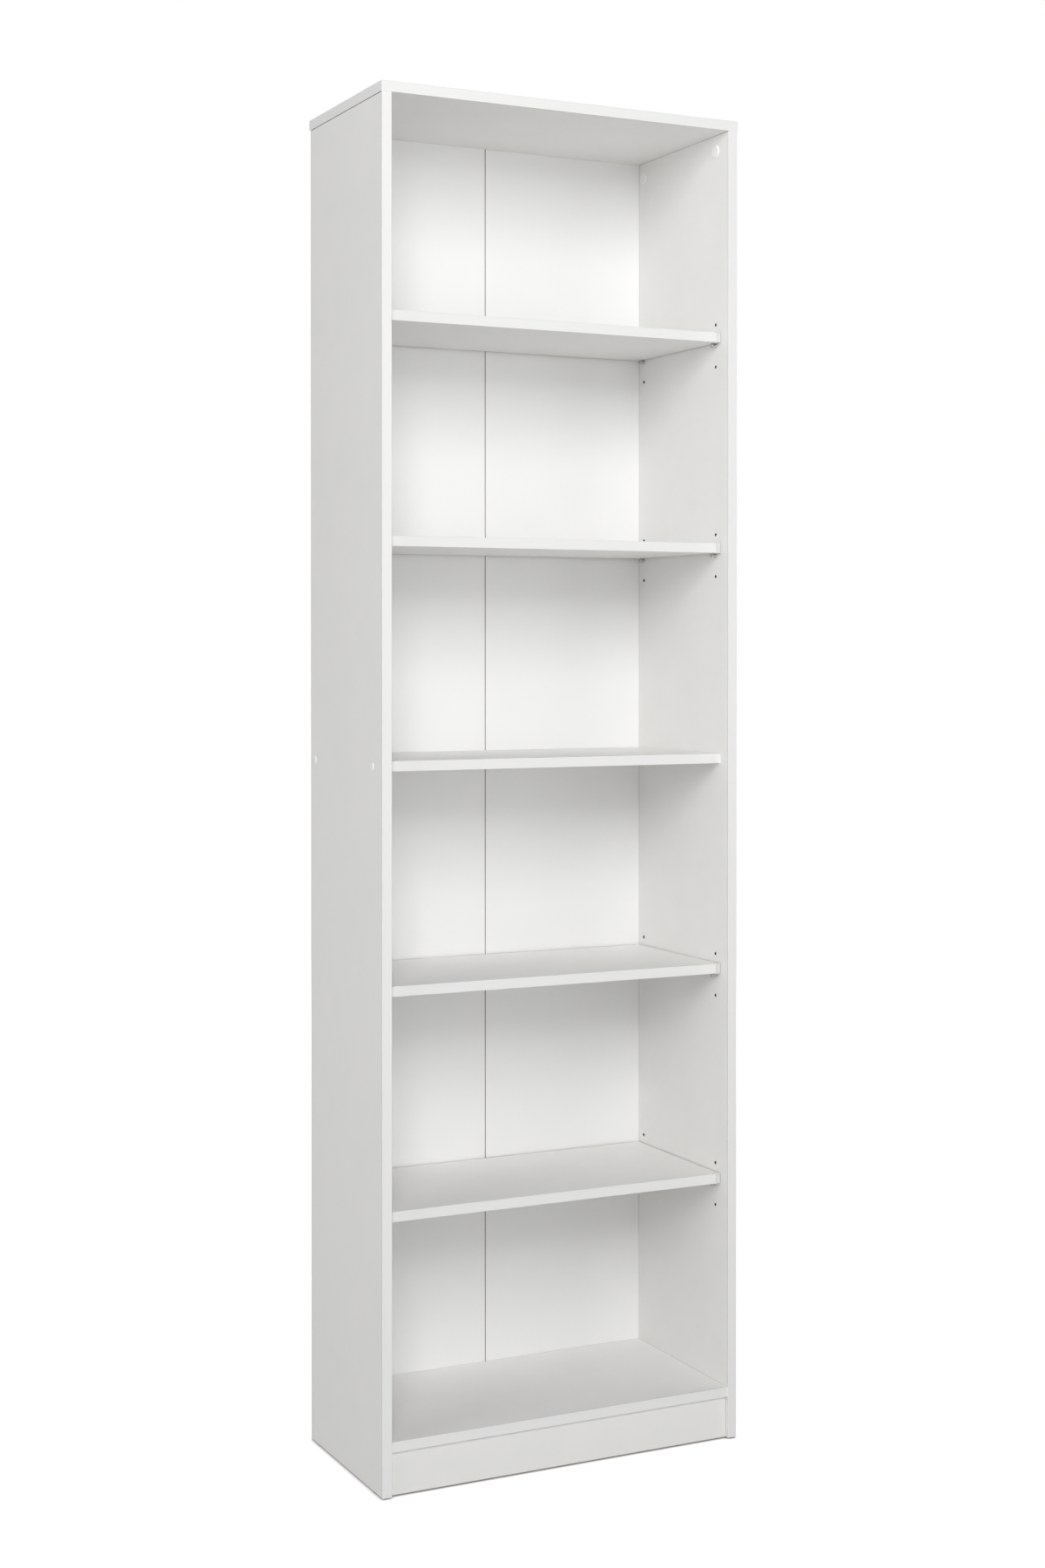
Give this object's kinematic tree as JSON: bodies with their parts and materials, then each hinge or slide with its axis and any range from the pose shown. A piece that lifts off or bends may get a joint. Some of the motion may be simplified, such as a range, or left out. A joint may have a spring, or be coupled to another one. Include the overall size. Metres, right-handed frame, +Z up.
{
  "type": "bookcase with adjustable shelves",
  "caption": "Tall narrow open bookcase with loose shelves on pins either side of a fixed middle shelf, an overlay top, a plinth and a folding hardboard back.",
  "frame": {"origin": "on the floor, in the middle of the bookcase's outline", "axes": "+Z up, +X to the right seen from the front, +Y to the back"},
  "size_m": [0.584, 0.282, 1.996],
  "materials": {
    "white_melamine_board": "chipboard faced with satin white melamine",
    "white_edging": "satin white edge band",
    "white_hardboard": "hardboard lacquered white on its face, brown behind",
    "hinge_tape": "adhesive tape",
    "nail_steel": "bright wire nail",
    "clear_clip_plastic": "moulded, nearly clear",
    "nickel_plated_steel": "turned, nickel plated",
    "zinc_die_casting": "zinc die casting",
    "plated_steel": "zinc plated",
    "white_cap_plastic": "moulded white",
    "beech": "turned beech dowel",
    "glide_plastic": "moulded dark grey"
  },
  "bodies": {
    "case": {"back_hinge_tape": "hinge_tape", "back_panel_left": "white_hardboard", "back_panel_nails": "nail_steel", "back_panel_right": "white_hardboard", "bottom_cam_bolts": "plated_steel", "bottom_cam_locks": "zinc_die_casting", "bottom_dowels": "beech", "bottom_shelf": "white_melamine_board", "bottom_shelf_edge_band": "white_edging", "fixed_middle_shelf": "white_melamine_board", "fixed_shelf_edge_band": "white_edging", "fixed_shelf_screw_caps": "white_cap_plastic", "fixed_shelf_screws": "plated_steel", "floor_glides": "glide_plastic", "left_side_edge_band": "white_edging", "left_side_panel": "white_melamine_board", "plinth_board": "white_melamine_board", "plinth_dowels": "beech", "right_side_edge_band": "white_edging", "right_side_panel": "white_melamine_board", "top_cam_bolts": "plated_steel", "top_cam_cover_caps": "white_cap_plastic", "top_cam_locks": "zinc_die_casting", "top_dowels": "beech", "top_edge_bands": "white_edging", "top_panel": "white_melamine_board"},
    "adjustable_shelf_1": {"adjustable_shelf_1": "white_melamine_board", "adjustable_shelf_1_clips": "clear_clip_plastic", "adjustable_shelf_1_edge_band": "white_edging"},
    "adjustable_shelf_2": {"adjustable_shelf_2": "white_melamine_board", "adjustable_shelf_2_clips": "clear_clip_plastic", "adjustable_shelf_2_edge_band": "white_edging"},
    "adjustable_shelf_3": {"adjustable_shelf_3": "white_melamine_board", "adjustable_shelf_3_clips": "clear_clip_plastic", "adjustable_shelf_3_edge_band": "white_edging"},
    "adjustable_shelf_4": {"adjustable_shelf_4": "white_melamine_board", "adjustable_shelf_4_clips": "clear_clip_plastic", "adjustable_shelf_4_edge_band": "white_edging"},
    "shelf_1_pin_left_front_body": {"shelf_1_pin_left_front": "nickel_plated_steel"},
    "shelf_1_pin_left_rear_body": {"shelf_1_pin_left_rear": "nickel_plated_steel"},
    "shelf_1_pin_right_front_body": {"shelf_1_pin_right_front": "nickel_plated_steel"},
    "shelf_1_pin_right_rear_body": {"shelf_1_pin_right_rear": "nickel_plated_steel"},
    "shelf_2_pin_left_front_body": {"shelf_2_pin_left_front": "nickel_plated_steel"},
    "shelf_2_pin_left_rear_body": {"shelf_2_pin_left_rear": "nickel_plated_steel"},
    "shelf_2_pin_right_front_body": {"shelf_2_pin_right_front": "nickel_plated_steel"},
    "shelf_2_pin_right_rear_body": {"shelf_2_pin_right_rear": "nickel_plated_steel"},
    "shelf_3_pin_left_front_body": {"shelf_3_pin_left_front": "nickel_plated_steel"},
    "shelf_3_pin_left_rear_body": {"shelf_3_pin_left_rear": "nickel_plated_steel"},
    "shelf_3_pin_right_front_body": {"shelf_3_pin_right_front": "nickel_plated_steel"},
    "shelf_3_pin_right_rear_body": {"shelf_3_pin_right_rear": "nickel_plated_steel"},
    "shelf_4_pin_left_front_body": {"shelf_4_pin_left_front": "nickel_plated_steel"},
    "shelf_4_pin_left_rear_body": {"shelf_4_pin_left_rear": "nickel_plated_steel"},
    "shelf_4_pin_right_front_body": {"shelf_4_pin_right_front": "nickel_plated_steel"},
    "shelf_4_pin_right_rear_body": {"shelf_4_pin_right_rear": "nickel_plated_steel"}
  },
  "joints": [
    {"name": "shelf_1_lift", "type": "slide", "parent": "case", "child": "adjustable_shelf_1", "axis": [0, 0, 1], "range_m": [0, 0.266]},
    {"name": "shelf_2_lift", "type": "slide", "parent": "case", "child": "adjustable_shelf_2", "axis": [0, 0, 1], "range_m": [0, 0.296]},
    {"name": "shelf_3_lift", "type": "slide", "parent": "case", "child": "adjustable_shelf_3", "axis": [0, 0, 1], "range_m": [0, 0.302]},
    {"name": "shelf_4_lift", "type": "slide", "parent": "case", "child": "adjustable_shelf_4", "axis": [0, 0, 1], "range_m": [0, 0.296]},
    {"name": "shelf_1_pin_left_front_pull", "type": "slide", "parent": "case", "child": "shelf_1_pin_left_front_body", "axis": [1, 0, 0], "range_m": [0, 0.02]},
    {"name": "shelf_1_pin_left_rear_pull", "type": "slide", "parent": "case", "child": "shelf_1_pin_left_rear_body", "axis": [1, 0, 0], "range_m": [0, 0.02]},
    {"name": "shelf_1_pin_right_front_pull", "type": "slide", "parent": "case", "child": "shelf_1_pin_right_front_body", "axis": [-1, 0, 0], "range_m": [0, 0.02]},
    {"name": "shelf_1_pin_right_rear_pull", "type": "slide", "parent": "case", "child": "shelf_1_pin_right_rear_body", "axis": [-1, 0, 0], "range_m": [0, 0.02]},
    {"name": "shelf_2_pin_left_front_pull", "type": "slide", "parent": "case", "child": "shelf_2_pin_left_front_body", "axis": [1, 0, 0], "range_m": [0, 0.02]},
    {"name": "shelf_2_pin_left_rear_pull", "type": "slide", "parent": "case", "child": "shelf_2_pin_left_rear_body", "axis": [1, 0, 0], "range_m": [0, 0.02]},
    {"name": "shelf_2_pin_right_front_pull", "type": "slide", "parent": "case", "child": "shelf_2_pin_right_front_body", "axis": [-1, 0, 0], "range_m": [0, 0.02]},
    {"name": "shelf_2_pin_right_rear_pull", "type": "slide", "parent": "case", "child": "shelf_2_pin_right_rear_body", "axis": [-1, 0, 0], "range_m": [0, 0.02]},
    {"name": "shelf_3_pin_left_front_pull", "type": "slide", "parent": "case", "child": "shelf_3_pin_left_front_body", "axis": [1, 0, 0], "range_m": [0, 0.02]},
    {"name": "shelf_3_pin_left_rear_pull", "type": "slide", "parent": "case", "child": "shelf_3_pin_left_rear_body", "axis": [1, 0, 0], "range_m": [0, 0.02]},
    {"name": "shelf_3_pin_right_front_pull", "type": "slide", "parent": "case", "child": "shelf_3_pin_right_front_body", "axis": [-1, 0, 0], "range_m": [0, 0.02]},
    {"name": "shelf_3_pin_right_rear_pull", "type": "slide", "parent": "case", "child": "shelf_3_pin_right_rear_body", "axis": [-1, 0, 0], "range_m": [0, 0.02]},
    {"name": "shelf_4_pin_left_front_pull", "type": "slide", "parent": "case", "child": "shelf_4_pin_left_front_body", "axis": [1, 0, 0], "range_m": [0, 0.02]},
    {"name": "shelf_4_pin_left_rear_pull", "type": "slide", "parent": "case", "child": "shelf_4_pin_left_rear_body", "axis": [1, 0, 0], "range_m": [0, 0.02]},
    {"name": "shelf_4_pin_right_front_pull", "type": "slide", "parent": "case", "child": "shelf_4_pin_right_front_body", "axis": [-1, 0, 0], "range_m": [0, 0.02]},
    {"name": "shelf_4_pin_right_rear_pull", "type": "slide", "parent": "case", "child": "shelf_4_pin_right_rear_body", "axis": [-1, 0, 0], "range_m": [0, 0.02]}
  ]
}
